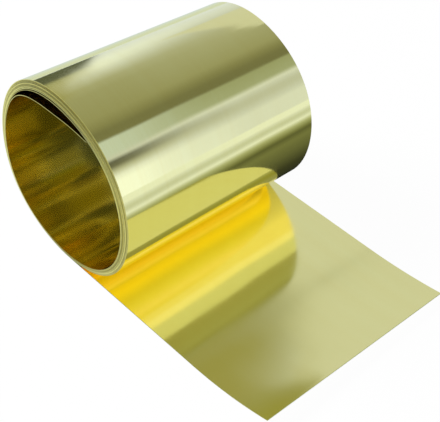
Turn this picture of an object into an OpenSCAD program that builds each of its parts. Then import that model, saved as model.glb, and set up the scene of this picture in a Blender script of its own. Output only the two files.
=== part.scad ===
// A roll of thin rolled brass strip, lying on its side with its outer end run out flat on the floor.
// The strip is one continuous piece. The roll is one turned solid with its bore: its turns lie tight
// on each other and show on both ends as steps, because each turn has slid a little past the last one.
// The axis of the roll runs along Y, the tail runs to +X, and the floor is z = 0. The origin is on
// the floor, under the middle of the whole object.

/* [Strip] */
// Width of the strip, which is the length of the roll
strip_w = 100; // [40:5:200]
// Thickness of the strip
strip_t = 0.3; // [0.2:0.05:0.8]

/* [Roll] */
// Outside diameter at the near end
roll_d = 82.6; // [60:0.2:160]
// How much smaller the outside diameter is at the far end, where the strip is wound tighter
taper = 3.4; // [0.4:0.1:8]
// Number of turns that lie on each other in the wall
turns = 11; // [2:1:20]
// Air between two neighbouring turns
turn_gap = 0.025; // [0:0.005:0.1]
// How far each turn stands out of the near end past the turn around it
turn_step = 0.12; // [0.02:0.01:0.4]
// How far the roll's own weight flattens it where it lies on the floor
sag = 0.1; // [0.02:0.01:0.4]

/* [Tail] */
// Length of the run-out end, from the line where the roll leaves the floor
tail_len = 120; // [60:1:240]
// Length of the part of the tail that curls up off the floor at its very end
curl_len = 40; // [10:1:60]
// Height that the curl lifts the tail's end edge
curl_rise = 4.2; // [1:0.2:12]
// Where the tail's underside starts, measured from the middle of the flattened place
tail_root = 1; // [0.5:0.1:2]

/* [Loose inner end] */
// Angle at which the innermost turn leaves the wall, degrees up from the tail's direction
loose_from = 136; // [110:1:160]
// Angle of the strip's inner end, where it rests against the wall again
loose_to = 52; // [40:1:70]
// How far the loose turn bows outwards from a straight line between those two places
loose_bow = 3.6; // [2:0.1:10]
// Gap that keeps the inner end free where it rests against the wall
tip_gap = 0.05; // [0.02:0.01:1]

/* [Hidden] */
// Curves are drawn with this many sides in a mesh; the exact model has true curves
$fn = 180;
roll_r = roll_d / 2;
far_r = roll_r - taper / 2;
pitch = strip_t + turn_gap;
wall = turns * pitch;
bore_r = roll_r - wall;
// How far the innermost turn stands out past the outermost one
slide = (turns - 1) * turn_step;
// The taper leans the axis down to the far end, so that the roll lies on the floor along its length
lean = atan((roll_r - far_r) / strip_w);
axis_z = (roll_r + far_r) / 2 * cos(lean) - sag;
// Tail: the curl is an arc that starts level and reaches curl_rise at the end
curl_r = (curl_len * curl_len + curl_rise * curl_rise) / (2 * curl_rise);
curl_ang = atan2(curl_len, curl_r - curl_rise);
flat_len = tail_len - curl_len;
// Middle of the whole object, measured from the line where the roll leaves the floor
mid_x = (tail_len - roll_r) / 2;
near_y = (strip_w / 2 + slide) * cos(lean) + (bore_r + pitch) * sin(lean);
far_y = strip_w / 2 * cos(lean) + far_r * sin(lean);
mid_y = (far_y - near_y) / 2;

brass = [0.71, 0.65, 0.36];

// Puts a shape drawn along Z, from the near end at 0, in its place along the leaning axis of the roll
module on_axis() {
    translate([0, 0, axis_z])
    rotate([-lean, 0, 0])
    translate([0, -strip_w / 2, 0])
    rotate([-90, 0, 0])
    mirror([0, 1, 0])
    children();
}

// Outline of the wall, turned round the axis: each turn ends one step further out at the near end
// and one step further in at the far end
module wall_section() {
    near_steps = [for (k = [0 : turns - 1], s = [0, 1]) [roll_r - (k + s) * pitch, -k * turn_step]];
    far_steps = [
        for (k = [turns - 1 : -1 : 0], s = [1, 0])
        [far_r - (k + s) * pitch, strip_w - k * turn_step]
    ];
    polygon(concat(near_steps, far_steps));
}

module roll() {
    on_axis()
    rotate_extrude()
    wall_section();
}

// The run-out end: flat on the floor, with its last part curled up
module tail() {
    translate([tail_root, -strip_w / 2, 0])
    cube([flat_len - tail_root, strip_w, strip_t]);
    translate([flat_len, strip_w / 2, curl_r])
    rotate([90, 0, 0])
    rotate([0, 0, -90])
    rotate_extrude(angle = curl_ang)
    translate([curl_r - strip_t, 0])
    square([strip_t, strip_w]);
}

// The innermost turn's free end, a shallow arc across the top of the bore. It follows the wall's
// taper where its tip lies, so it leans by the same angle towards that side
module loose_end() {
    r_from = bore_r + strip_t;
    r_to = bore_r - tip_gap;
    p = [r_from * cos(loose_from), r_from * sin(loose_from)];
    q = [r_to * cos(loose_to), r_to * sin(loose_to)];
    chord = norm(p - q);
    bow_r = (chord * chord / 4 + loose_bow * loose_bow) / (2 * loose_bow);
    half_a = asin(chord / 2 / bow_r);
    slope = atan2(q[1] - p[1], q[0] - p[0]);
    mid = (p + q) / 2;
    drop = bow_r - loose_bow;
    c = mid + drop * [sin(slope), -cos(slope)];
    on_axis()
    rotate(a = lean, v = [sin(loose_to), -cos(loose_to), 0])
    translate([c[0], c[1], -slide])
    rotate([0, 0, 90 + slope - half_a])
    rotate_extrude(angle = 2 * half_a)
    translate([bow_r - strip_t, 0])
    square([strip_t, strip_w]);
}

// What the floor flattens: everything of the roll that would lie below it
module below_floor() {
    translate([-roll_r, -strip_w, -roll_r])
    cube([roll_d, 2 * strip_w, roll_r]);
}

module brass_strip() {
    color(brass)
    translate([-mid_x, -mid_y, 0])
    difference() {
        union() {
            roll();
            tail();
            loose_end();
        }
        below_floor();
    }
}

brass_strip();
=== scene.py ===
import math

import bpy
import numpy as np
from mathutils import Matrix


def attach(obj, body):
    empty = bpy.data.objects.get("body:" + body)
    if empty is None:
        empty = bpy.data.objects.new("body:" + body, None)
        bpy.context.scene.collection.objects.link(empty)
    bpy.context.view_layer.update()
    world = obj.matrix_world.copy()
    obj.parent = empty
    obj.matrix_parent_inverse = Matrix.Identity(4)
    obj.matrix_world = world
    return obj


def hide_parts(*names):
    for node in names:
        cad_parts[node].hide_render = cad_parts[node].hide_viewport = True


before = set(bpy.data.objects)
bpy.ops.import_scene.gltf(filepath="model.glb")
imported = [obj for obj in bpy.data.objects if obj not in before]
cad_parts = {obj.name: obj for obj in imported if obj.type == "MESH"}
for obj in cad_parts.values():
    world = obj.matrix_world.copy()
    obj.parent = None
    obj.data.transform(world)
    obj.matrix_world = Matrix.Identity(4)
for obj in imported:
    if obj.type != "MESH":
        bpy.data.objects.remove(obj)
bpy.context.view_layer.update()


# NODES
# Short ways to build the materials and the studio. A colour is given as its three levels.
def feed(tree, node, inputs):
    """Sets inputs of a node, each to a number, a colour or another node's output."""
    for name, value in inputs.items():
        if isinstance(value, bpy.types.NodeSocket):
            tree.links.new(value, node.inputs[name])
        else:
            node.inputs[name].default_value = (*value, 1) if isinstance(value, tuple) else value


def add(tree, kind, inputs=None, **settings):
    """A new shader node with its settings and inputs."""
    node = tree.nodes.new("ShaderNode" + kind)
    for name, value in settings.items():
        setattr(node, name, value)
    feed(tree, node, inputs or {})
    return node


def calc(tree, operation, *values):
    return add(tree, "Math", dict(enumerate(values)), operation=operation).outputs[0]


def remap(tree, value, low, high, to_low=0, to_high=1, smoothly=False):
    """Where a value lies between low and high, as a value between to_low and to_high."""
    return add(tree, "MapRange", {"Value": value, "From Min": low, "From Max": high,
                                  "To Min": to_low, "To Max": to_high},
               interpolation_type="SMOOTHSTEP" if smoothly else "LINEAR").outputs[0]


def blend(tree, share, first, second):
    """A colour between two others."""
    return add(tree, "Mix", {"Factor": share, "A": first, "B": second},
               data_type="RGBA").outputs["Result"]


def ramp(tree, value, stops):
    """The colour for a value, between (value, colour) stops in rising order."""
    node = add(tree, "ValToRGB", {0: value})
    elements = node.color_ramp.elements
    while len(elements) < len(stops):
        elements.new(0.5)
    for element, (position, _) in zip(elements, stops):
        element.position = position
    for element, (_, colour) in zip(elements, stops):
        element.color = (*colour, 1)
    return node.outputs["Color"]


def xyz(tree, vector):
    return add(tree, "SeparateXYZ", {0: vector}).outputs


def new_material(name, empty=False):
    made = bpy.data.materials.new(name)
    made.use_nodes = True
    if empty:
        made.node_tree.nodes.clear()
    return made


# THE BRASS STRIP
# One length of thin cold-rolled brass, slit to width at both edges and wound tight on itself, about
# ten and a half turns. The turns have slid a little towards the near end as it was wound. Its outer
# end is run out flat on the floor; its inner end has sprung off the wall and crosses the bore.
strip_width = 0.100
strip_thick = 0.0003
edge_break = 0.00004
# Where the roll leaves the floor and where its middle lies. The frame is centred on the whole
# object.
leave_x, middle_y = -0.03935, 0.000587

# The outside of the roll at its two ends. It is a little out of round, by the angle up from the
# tail's direction: pairs of cosine and sine for 2, 3 and 4 waves round it.
near_radius, far_radius = 0.0412724, 0.0395706
near_centre, far_centre = 0.0000273, -0.0003508
out_of_round = ((0.0045, -0.0130), (0.0036, -0.0062), (-0.0077, 0.0059))

# The winding: its length in degrees wound, the pitch of the turns at mid height and how much looser
# they lie at the top than at the bottom, and how far each turn stands out past the one around it.
wound_end, wound_step = 3811.6, 2.4
turn_pitch, top_looser = 0.00036, 0.00005
turn_slide = 0.00012
# Each turn steps inwards by one pitch over its last part
step_from, step_over = 280, 80
# Towards the top some turns lie closer than others
uneven, uneven_turns = 0.00004, 2.7
# The last full turn stands off inwards under the free end, most of all near the top
stand_off, stand_off_at, stand_off_wide = 0.00055, 3420.0, 30.0
# The free inner end: where it leaves the wall, and its distance from the roll's middle at the near
# edge, in mm, by the degrees wound
free_from, free_over = 3698, 24
free_deg = (3702, 3712, 3722, 3730, 3738, 3753.3, 3768, 3781.5, 3794.0, 3807.2, 3811.6)
free_out = (37.24, 37.38, 37.60, 37.62, 37.15, 34.65, 32.40, 31.80, 32.70, 34.85, 35.90)

# The tail: its end edge is cut slightly askew, and its last part curls up off the floor
tail_near, tail_far = 0.119195, 0.116792
tail_steps = 63
curl_start, curl_power = 0.07903, 2.0
curl_near, curl_far = 0.0054575, 0.0028945


def roundness(angle_deg):
    rad = np.radians(angle_deg)
    return 1 + sum(c * np.cos(k * rad) + s * np.sin(k * rad)
                   for k, (c, s) in enumerate(out_of_round, 2))


def smooth(share):
    share = np.clip(share, 0, 1)
    return share * share * (3 - 2 * share)


def through(at, x, y):
    """A smooth curve through given places (a natural cubic spline)."""
    x, y = np.array(x, float), np.array(y, float)
    h, n = np.diff(x), len(x)
    a, b = np.eye(n), np.zeros(n)
    for i in range(1, n - 1):
        a[i, i - 1:i + 2] = h[i - 1], 2 * (h[i - 1] + h[i]), h[i]
        b[i] = 6 * ((y[i + 1] - y[i]) / h[i] - (y[i] - y[i - 1]) / h[i - 1])
    m = np.linalg.solve(a, b)
    i = np.clip(np.searchsorted(x, at) - 1, 0, n - 2)
    t0, t1 = x[i + 1] - at, at - x[i]
    return ((m[i] * t0 ** 3 + m[i + 1] * t1 ** 3) / (6 * h[i])
            + (y[i] / h[i] - m[i] * h[i] / 6) * t0 + (y[i + 1] / h[i] - m[i + 1] * h[i] / 6) * t1)


def inset_of(wound):
    """How far the strip's outer face lies inside the outside of the roll, near edge."""
    upward = np.sin(np.radians(270 - wound))
    turn = np.floor(wound / 360)
    layers = turn + smooth((wound - 360 * turn - step_from) / step_over)
    inset = layers * (turn_pitch + top_looser * upward)
    inset = inset + uneven * (1 + upward) / 2 * np.sin(2 * np.pi * wound / 360 / uneven_turns)
    inset = inset + stand_off * np.exp(-((wound - stand_off_at) / stand_off_wide) ** 2)
    free = near_radius * roundness(270 - wound) - 0.001 * through(wound, free_deg, free_out)
    leaves = smooth((wound - free_from) / free_over)
    return inset * (1 - leaves) + free * leaves


def strip_line(share):
    """The strip's outer face at one place across it, from the tail's end inwards: x, y shift, z."""
    radius = near_radius + (far_radius - near_radius) * share
    centre = near_centre + (far_centre - near_centre) * share
    # The roll touches the floor at its lowest place, which lies near 270 degrees
    turned = np.linspace(255, 285, 601)
    low = roundness(turned) * np.sin(np.radians(turned))
    start = 270 - turned[np.argmin(low)]
    floor_z = -radius * low.min()
    wound = start + wound_step * np.arange(int((wound_end - start) / wound_step) + 1)
    wound = np.append(wound, wound_end)
    r = radius * roundness(270 - wound) - inset_of(wound)
    angle = np.radians(270 - wound)
    roll = np.stack([centre + r * np.cos(angle), -turn_slide * wound / 360,
                     floor_z + r * np.sin(angle)], 1)
    end_x = tail_near + (tail_far - tail_near) * share
    x = end_x + (roll[0, 0] - end_x) * np.linspace(0, 1, tail_steps + 1)[:-1]
    up = np.clip((x - curl_start) / (end_x - curl_start), 0, 1)
    z = (curl_near + (curl_far - curl_near) * share) * up ** curl_power
    return np.concatenate([np.stack([x, 0 * x, z], 1), roll])


# Thirteen lines across the strip and one more at each slit edge, set in by the broken corner
across = np.linspace(-0.5, 0.5, 13) * (strip_width - 2 * edge_break)
columns = np.array([-strip_width / 2, *across, strip_width / 2])
lines, normals = [], []
for v in columns:
    line = strip_line(v / strip_width + 0.5)
    d = np.gradient(line[:, [0, 2]], axis=0)
    d /= np.linalg.norm(d, axis=1)[:, None]
    lines.append(line)
    normals.append(np.stack([d[:, 1], 0 * d[:, 0], -d[:, 0]], 1))

# Round the strip's section: outer face, far slit edge, inner face, near slit edge
last = len(columns) - 1
section = [(c, 0.0) for c in range(1, last)]
section += [(last, edge_break), (last, strip_thick - edge_break)]
section += [(c, strip_thick) for c in range(last - 1, 0, -1)]
section += [(0, strip_thick - edge_break), (0, edge_break)]
ring, length = len(section), len(lines[0])

# The points, and where each lies on the flat strip: across it and along it from the tail's end
points = np.zeros((length, ring, 3))
flat = np.zeros((length, ring, 2))
middle_line = lines[len(columns) // 2]
run = np.concatenate([[0], np.cumsum(np.linalg.norm(np.diff(middle_line, axis=0), axis=1))])
for j, (c, depth) in enumerate(section):
    points[:, j] = lines[c] + normals[c] * depth + [leave_x, columns[c] + middle_y, 0]
    flat[:, j, 0] = columns[c] + strip_width / 2
    flat[:, j, 1] = run

# The faces along the strip, by material: 0 for its two faces, 1 for the three quads of each slit
# edge, 2 for the top of the tail
far_j, near_j, edge_quads = last - 2, ring - 3, 3
i, j = np.meshgrid(np.arange(length - 1), np.arange(ring), indexing="ij")
k = (j + 1) % ring
quads = np.stack([i * ring + j, (i + 1) * ring + j, (i + 1) * ring + k, i * ring + k], -1)
is_edge = (j >= far_j) & (j < far_j + edge_quads) | (j >= near_j)
on_top = (j >= far_j + edge_quads) & (j < near_j) & (i < tail_steps)
faces = quads.reshape(-1, 4).tolist()
face_kinds = np.where(is_edge, 1, np.where(on_top, 2, 0)).reshape(-1).tolist()
# The cut ends close both ends of the strip
for first, flip in ((0, False), ((length - 1) * ring, True)):
    cap = [[first + c, first + c + 1, first + near_j - 1 - c, first + near_j - c]
           for c in range(far_j)]
    cap += [[first + far_j + c for c in range(4)]]
    cap += [[first + near_j, first + near_j + 1, first + near_j + 2, first]]
    for quad in cap:
        faces.append(quad[::-1] if flip else quad)
        face_kinds.append(1)

mesh = bpy.data.meshes.new("rolled_strip")
mesh.from_pydata(points.reshape(-1, 3).tolist(), [], faces)
mesh.update()
uv = mesh.uv_layers.new(name="UVMap")
loop_vertex = np.zeros(len(mesh.loops), np.int32)
mesh.loops.foreach_get("vertex_index", loop_vertex)
uv.data.foreach_set("uv", flat.reshape(-1, 2)[loop_vertex].astype(np.float32).ravel())
mesh.polygons.foreach_set("use_smooth", [True] * len(mesh.polygons))
mesh.polygons.foreach_set("material_index", face_kinds)
# Sharp are the broken corners along the strip and the outline of its cut ends
ends = np.zeros(len(mesh.edges) * 2, np.int32)
mesh.edges.foreach_get("vertices", ends)
ends = ends.reshape(-1, 2)
corners = [0, *range(far_j, far_j + 4), *range(near_j, near_j + 3)]
lengthwise = ends[:, 0] % ring == ends[:, 1] % ring
corner = np.isin(ends[:, 0] % ring, corners)
cut_end = (ends // ring == 0).all(1) | (ends // ring == length - 1).all(1)
sharp = (lengthwise & corner) | cut_end
mesh.attributes.new("sharp_edge", "BOOLEAN", "EDGE").data.foreach_set("value", sharp)
strip = bpy.data.objects.new("rolled_strip", mesh)
bpy.context.scene.collection.objects.link(strip)

# What marks the metal, each by how fine it is across and along the strip (per metre) and its
# detail: hair lines and bands from the mill's rolls, smudges from handling, and soft dents too
# shallow to see but for what they do to a mirrored edge
mark_kinds = (("Hair Lines", 2600, 9, 3), ("Pressure Bands", 160, 2, 2), ("Smudges", 55, 38, 4),
              ("Soft Dents", 32, 20, 0))
marks = bpy.data.node_groups.new("mill_marks", "ShaderNodeTree")
for name in ("Across", "Along"):
    marks.interface.new_socket(name, in_out="INPUT", socket_type="NodeSocketFloat")
for name, *_ in mark_kinds:
    marks.interface.new_socket(name, in_out="OUTPUT", socket_type="NodeSocketFloat")
group_in = marks.nodes.new("NodeGroupInput").outputs
group_out = marks.nodes.new("NodeGroupOutput").inputs
for name, per_m_across, per_m_along, detail in mark_kinds:
    spot = add(marks, "CombineXYZ", {
        "X": calc(marks, "MULTIPLY", group_in["Across"], per_m_across),
        "Y": calc(marks, "MULTIPLY", group_in["Along"], per_m_along)}).outputs[0]
    noise = add(marks, "TexNoise", {"Vector": spot, "Scale": 1, "Detail": detail},
                noise_dimensions="2D")
    marks.links.new(noise.outputs["Fac"], group_out[name])


def brass_face(name, glossiest, dullest):
    """Cold-rolled brass, between two roughness values, with its highlights drawn out across the
    rolling lines. The marks shift its colour, gloss and relief a little."""
    made = new_material(name)
    tree = made.node_tree
    place = xyz(tree, add(tree, "UVMap", uv_map="UVMap").outputs["UV"])
    mill = add(tree, "Group", {"Across": place["X"], "Along": place["Y"]}, node_tree=marks).outputs
    shade = calc(tree, "MULTIPLY_ADD", mill["Hair Lines"], 0.6,
                 calc(tree, "MULTIPLY", mill["Pressure Bands"], 0.4))
    dented = add(tree, "Bump", {"Strength": 1, "Distance": 0.0002, "Height": mill["Soft Dents"]})
    relief = add(tree, "Bump", {"Strength": 1, "Distance": 0.0000006, "Height": mill["Hair Lines"],
                                "Normal": dented.outputs[0]})
    along_strip = add(tree, "Tangent", direction_type="UV_MAP", uv_map="UVMap")
    feed(tree, tree.nodes["Principled BSDF"], {
        "Metallic": 1, "Anisotropic": 0.7,
        "Base Color": blend(tree, shade, (0.97, 0.84, 0.33), (1.0, 0.91, 0.40)),
        "Roughness": remap(tree, mill["Smudges"], 0.3, 0.7, glossiest, dullest),
        "Normal": relief.outputs[0], "Tangent": along_strip.outputs["Tangent"]})
    return made


def slit_edge(name):
    """The knives leave the slit edges duller than the faces, and unevenly dark along the strip."""
    made = new_material(name)
    tree = made.node_tree
    place = xyz(tree, add(tree, "UVMap", uv_map="UVMap").outputs["UV"])
    sooner = calc(tree, "MULTIPLY", place["Y"], 6)
    mill = add(tree, "Group", {"Across": place["X"], "Along": sooner}, node_tree=marks).outputs
    burr = add(tree, "TexNoise", {"W": place["Y"], "Scale": 7, "Detail": 2}, noise_dimensions="1D")
    feed(tree, tree.nodes["Principled BSDF"], {
        "Metallic": 1,
        "Base Color": blend(tree, remap(tree, burr.outputs[0], 0.36, 0.60),
                            (0.52, 0.47, 0.14), (0.96, 0.92, 0.36)),
        "Roughness": remap(tree, mill["Smudges"], 0.3, 0.7, 0.4, 0.55)})
    return made


mesh.materials.append(brass_face("rolled_brass", 0.06, 0.10))
mesh.materials.append(slit_edge("slit_edge"))
# The top of the tail has been handled, so it is a little less glossy than the roll
mesh.materials.append(brass_face("handled_brass", 0.10, 0.13))
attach(strip, "root")
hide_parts("brass_strip")

# THE FLOOR
# Plain white paper: the camera sees it almost evenly lit, with a trace of the roll's shadow
bpy.ops.mesh.primitive_plane_add(size=12, location=(0, 0, 0))
floor = bpy.context.object
floor.name = "floor"
seen_lit = 0.98
# In the metal it glows with painted light, levels by x: painted shade under the roll, paler painted
# light further out
painted_light_reach = 0.4
painted_light_levels = ((-0.110, 0.76), (-0.075, 0.13), (-0.020, 0.02), (0.000, 0.05), (0.020, 0.14),
                (0.042, 0.20), (0.060, 0.12), (0.070, 0.22), (0.096, 0.48), (0.128, 0.93),
                (0.165, 0.70), (0.200, 0.66), (0.300, 0.80), (0.400, 0.95))


def painted_light_colour(x, level):
    """The painted light's colour: pale places are cooler than dim ones; the place far left has its
    own cast.
    """
    cool = 0.8 * min(max((level - 0.35) / 0.4, 0), 1) if x > -0.1 else 0.5
    return 0.86 * level, level, (0.55 + cool) * level


paper = new_material("white_floor", empty=True)
tree = paper.node_tree
place = xyz(tree, add(tree, "TexCoord").outputs["Object"])
ray = add(tree, "LightPath").outputs
painted_floor_light = ramp(tree, remap(tree, place["X"], -painted_light_reach, painted_light_reach),
             [((x + painted_light_reach) / (2 * painted_light_reach), painted_light_colour(x, level))
              for x, level in painted_light_levels])
# What reaches the metal by way of other metal is plain painted light, dim on the left and warm on
# the right
second = blend(tree, remap(tree, place["X"], -0.04, 0.02), (0.31, 0.34, 0.22), (0.90, 0.92, 0.62))
mirrored = blend(tree, calc(tree, "GREATER_THAN", ray["Ray Depth"], 1.5), painted_floor_light, second)
# In front of the roll the painted light is pale, a painted highlight for the slit edges, which face
# it
mirrored = blend(tree, remap(tree, place["Y"], -0.048, -0.056), mirrored, (0.80, 0.84, 0.86))
# Glossy rays see the painted light and shade as a glow; other rays see plain diffuse paper
by_ray = add(tree, "MixShader", {
    0: ray["Is Glossy Ray"], 1: add(tree, "BsdfDiffuse", {"Color": (0.9, 0.9, 0.9)}).outputs[0],
    2: add(tree, "Emission", {"Color": mirrored}).outputs[0]})
lit = add(tree, "MixShader", {
    0: calc(tree, "MULTIPLY", ray["Is Camera Ray"], seen_lit), 1: by_ray.outputs[0],
    2: add(tree, "Emission", {"Color": (1, 1, 1)}).outputs[0]})
add(tree, "OutputMaterial", {"Surface": lit.outputs[0]})
floor.data.materials.append(paper)

# THE KEY LIGHT
# One large soft lamp to the left of the camera. It lights the floor and casts the roll's shadow
# away from the camera; the metal mirrors the studio instead.
lamp = bpy.data.objects.new("soft_lamp", bpy.data.lights.new("soft_lamp", "AREA"))
lamp.data.shape = "SQUARE"
lamp.data.size = 0.5
lamp.data.energy = 30
lamp.visible_glossy = False
lamp_away, toward = 1.3, np.array([-1.2, -0.67, 1.0])
toward /= np.linalg.norm(toward)
level_side = np.cross([0, 0, 1], toward)
level_side /= np.linalg.norm(level_side)
lamp_axes = np.stack([level_side, np.cross(toward, level_side), toward], 1)
lamp.matrix_world = Matrix([[*row, p] for row, p in zip(lamp_axes, lamp_away * toward)]
                           + [[0, 0, 0, 1]])
bpy.context.scene.collection.objects.link(lamp)


# THE STAGE'S SHEETS
# Flat faces that only the metal mirrors
def stage_sheet(name, outline, surface):
    sheet_mesh = bpy.data.meshes.new(name)
    sheet_mesh.from_pydata(outline, [], [list(range(len(outline)))])
    sheet_mesh.materials.append(surface)
    sheet = bpy.data.objects.new(name, sheet_mesh)
    bpy.context.scene.collection.objects.link(sheet)
    sheet.visible_camera = False
    sheet.visible_shadow = False
    sheet.visible_diffuse = False
    return sheet


def hang_card(name, corners, height, surface):
    """A level sheet over the object, its corners in mm from where the roll leaves the floor."""
    outline = [(x / 1000 + leave_x, y / 1000 + middle_y, height) for x, y in corners]
    return stage_sheet(name, outline, surface)


# THE PALE CARD
# A card behind the roll, above the picture. Only the right-hand part of the run-out end mirrors it.
pale_face = new_material("pale_card", empty=True)
tree = pale_face.node_tree
pale = add(tree, "Emission", {"Color": (0.62, 0.69, 0.79)})
add(tree, "OutputMaterial", {"Surface": pale.outputs[0]})
card_corners = ((-40, 149), (-52, 147), (-59, 143), (-79, 149), (-138, 156), (-171, 161),
                (-210, 165), (-230, 400), (-40, 400))
card = hang_card("pale_card", card_corners, 0.19, pale_face)

# THE LOW CARD
# A card low over the run-out end, a little way off the roll. It shows only at second hand: the
# lower right of the roll mirrors it by way of the tail.
low_face = new_material("low_card", empty=True)
tree = low_face.node_tree
ray = add(tree, "LightPath").outputs
cool = add(tree, "Emission", {"Color": (0.66, 0.78, 0.94)})
only_then = add(tree, "MixShader", {
    0: calc(tree, "COMPARE", ray["Ray Depth"], 2, 0.5),
    1: add(tree, "BsdfTransparent").outputs[0], 2: cool.outputs[0]})
add(tree, "OutputMaterial", {"Surface": only_then.outputs[0]})
low_card = hang_card("low_card", ((59, -30), (150, -30), (150, 140), (59, 140)), 0.045, low_face)

# THE PAINTED SHADE BEHIND THE BORE
# A dark see-through disc right behind the far opening, a sheet of painted shade that dims all that
# the inside of the bore mirrors
painted_bore_shade = new_material("bore_shade_sheet", empty=True)
tree = painted_bore_shade.node_tree
shade_filter = add(tree, "BsdfTransparent", {"Color": (0.16, 0.175, 0.24)})
add(tree, "OutputMaterial", {"Surface": shade_filter.outputs[0]})
back_r, back_sides = far_radius * 0.925, 64
back_x, back_z = leave_x + far_centre, far_radius - 0.0001
back_y = middle_y + strip_width / 2 + 0.0002
around = [2 * math.pi * step / back_sides for step in range(back_sides)]
bore_shade_sheet = stage_sheet("bore_shade_sheet", [(back_x + back_r * math.cos(a), back_y,
                                       back_z + back_r * math.sin(a)) for a in around], painted_bore_shade)

# THE STUDIO
# A soft room of pale and dim screens that run along the roll, seen only in the metal: how bright
# they are by the angle up from the tail's direction, over the roll; first straight across, then
# further along the roll's axis. All its levels were set by looking at renders.
screens = ((0, 1.14, 0.80), (18, 1.14, 0.80), (24, 0.98, 0.68), (31, 0.50, 0.60), (36, 0.12, 0.60),
           (41, 0.07, 0.68), (45, 0.64, 0.78), (50, 0.72, 0.42), (65.5, 0.74, 0.37),
           (66.5, 0.21, 0.18), (75, 0.20, 0.19), (82, 0.27, 0.25), (91, 0.32, 0.35),
           (118, 0.36, 0.43), (128, 0.44, 0.48), (141, 0.78, 0.58), (150, 0.98, 0.66),
           (160, 1.02, 0.76), (180, 0.83, 0.85))
dim_cast, bright_cast = (0.92, 1.0, 0.72), (0.86, 1.0, 1.48)
# Low on the left, straight across, the screens are darker: the near end of the roll's top and the
# left part of the tail mirror them
low_left = ((112, (0.33, 0.35, 0.26)), (125, (0.31, 0.32, 0.14)), (136, (0.32, 0.33, 0.15)),
            (148, (0.36, 0.38, 0.26)), (154, (0.33, 0.36, 0.26)), (160, (0.10, 0.12, 0.10)))
# At second hand, where the roll and the tail face each other, the room is warm
second_hand = ((0, (0.96, 1.04, 1.10)), (25, (0.86, 0.95, 1.00)), (33, (0.32, 0.37, 0.32)),
               (76, (0.35, 0.42, 0.36)), (84, (0.27, 0.31, 0.12)), (96, (0.30, 0.35, 0.28)),
               (180, (0.33, 0.38, 0.40)))
# At third hand and beyond, where the two lie closest and in the bore, it is warmer still
third_hand = ((0, (1.02, 1.08, 1.20)), (14, (1.00, 1.04, 1.10)), (30, (0.84, 0.92, 0.50)),
              (42, (0.76, 0.80, 0.24)), (56, (1.00, 0.96, 0.12)), (72, (0.80, 0.72, 0.08)),
              (90, (0.95, 0.85, 0.15)), (135, (1.30, 1.20, 0.50)), (180, (0.50, 0.45, 0.20)))


def at(degrees):
    """An angle as its place on the ramps, which go once round from -180 degrees."""
    return (degrees + 180) / 360


def screen_colour(degrees, level):
    """Bright screens are cool and dim ones warm; those over the roll's pale band are less red."""
    share = min(max((level - 0.30) / 0.35, 0), 1)
    red, green, blue = (level * (d + (b - d) * share) for d, b in zip(dim_cast, bright_cast))
    return red * (0.93 if 45 < degrees < 66 else 1), green, blue


world = bpy.data.worlds.new("studio")
bpy.context.scene.world = world
world.use_nodes = True
tree = world.node_tree
tree.nodes.clear()
heading = xyz(tree, add(tree, "TexCoord").outputs["Generated"])
ray = add(tree, "LightPath").outputs
turned = remap(tree, calc(tree, "ARCTAN2", heading["Z"], heading["X"]), -math.pi, math.pi)
straight = [(at(deg), screen_colour(deg, level)) for deg, level, _ in screens]
further = [(at(deg), screen_colour(deg, level)) for deg, _, level in screens]
room = blend(tree, remap(tree, heading["Y"], 0.515, 0.61), ramp(tree, turned, straight),
             ramp(tree, turned, further))
low_left, second_hand, third_hand = (
    ramp(tree, turned, [(at(deg), colour) for deg, colour in stops])
    for stops in (low_left, second_hand, third_hand))
is_low_left = calc(tree, "MULTIPLY", remap(tree, turned, at(112), at(126), smoothly=True),
                   remap(tree, heading["Y"], 0.515, 0.508, smoothly=True))
room = blend(tree, is_low_left, room, low_left)
# The two side walls that the roll's axis points at are plain
room = blend(tree, remap(tree, calc(tree, "ABSOLUTE", heading["Y"]), 0.80, 0.95, smoothly=True),
             room, (0.5, 0.55, 0.7))
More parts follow.
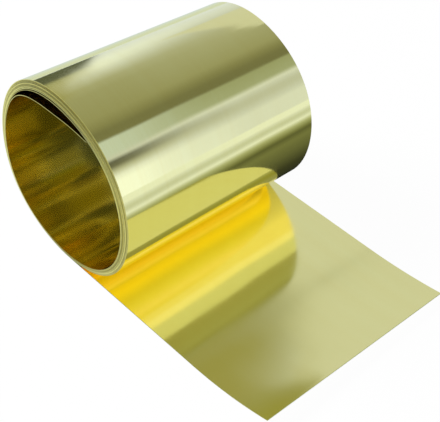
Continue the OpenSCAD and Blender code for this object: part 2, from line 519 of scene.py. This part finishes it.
# At second hand, straight across and above the lowest screens, the room is olive
is_olive = calc(tree, "MULTIPLY", remap(tree, heading["Y"], 0.478, 0.458, smoothly=True),
                remap(tree, turned, at(12), at(20), smoothly=True))
second_hand = blend(tree, is_olive, second_hand, (0.30, 0.34, 0.28))
room = blend(tree, calc(tree, "GREATER_THAN", ray["Ray Depth"], 2.5), room, second_hand)
room = blend(tree, calc(tree, "GREATER_THAN", ray["Ray Depth"], 3.5), room, third_hand)
# The floor is lit by the lamp more than by the screens
strength = calc(tree, "MULTIPLY_ADD", ray["Is Diffuse Ray"], -0.75, 1)
around_it = add(tree, "Background", {"Color": room, "Strength": strength})
backdrop = add(tree, "Background", {"Color": (1, 1, 1)})
seen = add(tree, "MixShader", {0: ray["Is Camera Ray"], 1: around_it.outputs[0],
                               2: backdrop.outputs[0]})
add(tree, "OutputWorld", {"Surface": seen.outputs[0]})
bpy.context.scene.cycles.glossy_bounces = 12

# THE CAMERA, at the photograph's viewing angle
photo_width, focal_pixels, shift_pixels = 440, 1164.9776, (2.6395, -16.4978)
turn_deg, rise_deg, roll_deg = 46.0719, 40.2227, 2.8033
away, aim = 0.4706546, np.array([0.0360407 + leave_x, middle_y, 0.029592])
turn, rise, tilt = (math.radians(d) for d in (turn_deg, rise_deg, roll_deg))
back = np.array([math.sin(turn) * math.cos(rise), -math.cos(turn) * math.cos(rise),
                 math.sin(rise)])
side = np.cross(-back, [0, 0, 1])
side /= np.linalg.norm(side)
top = np.cross(side, -back)
right = math.cos(tilt) * side + math.sin(tilt) * top
up = -math.sin(tilt) * side + math.cos(tilt) * top
camera = bpy.data.objects.new("camera", bpy.data.cameras.new("camera"))
bpy.context.scene.collection.objects.link(camera)
camera_axes = np.stack([right, up, back], 1)
camera.matrix_world = Matrix([[*row, p] for row, p in zip(camera_axes, aim + away * back)]
                             + [[0, 0, 0, 1]])
camera.data.sensor_width = 36
camera.data.lens = focal_pixels / photo_width * camera.data.sensor_width
camera.data.shift_x = shift_pixels[0] / photo_width
camera.data.shift_y = shift_pixels[1] / photo_width
camera.data.clip_start = 0.01
camera.data.clip_end = 50
bpy.context.scene.camera = camera
bpy.context.scene.view_settings.view_transform = "Standard"
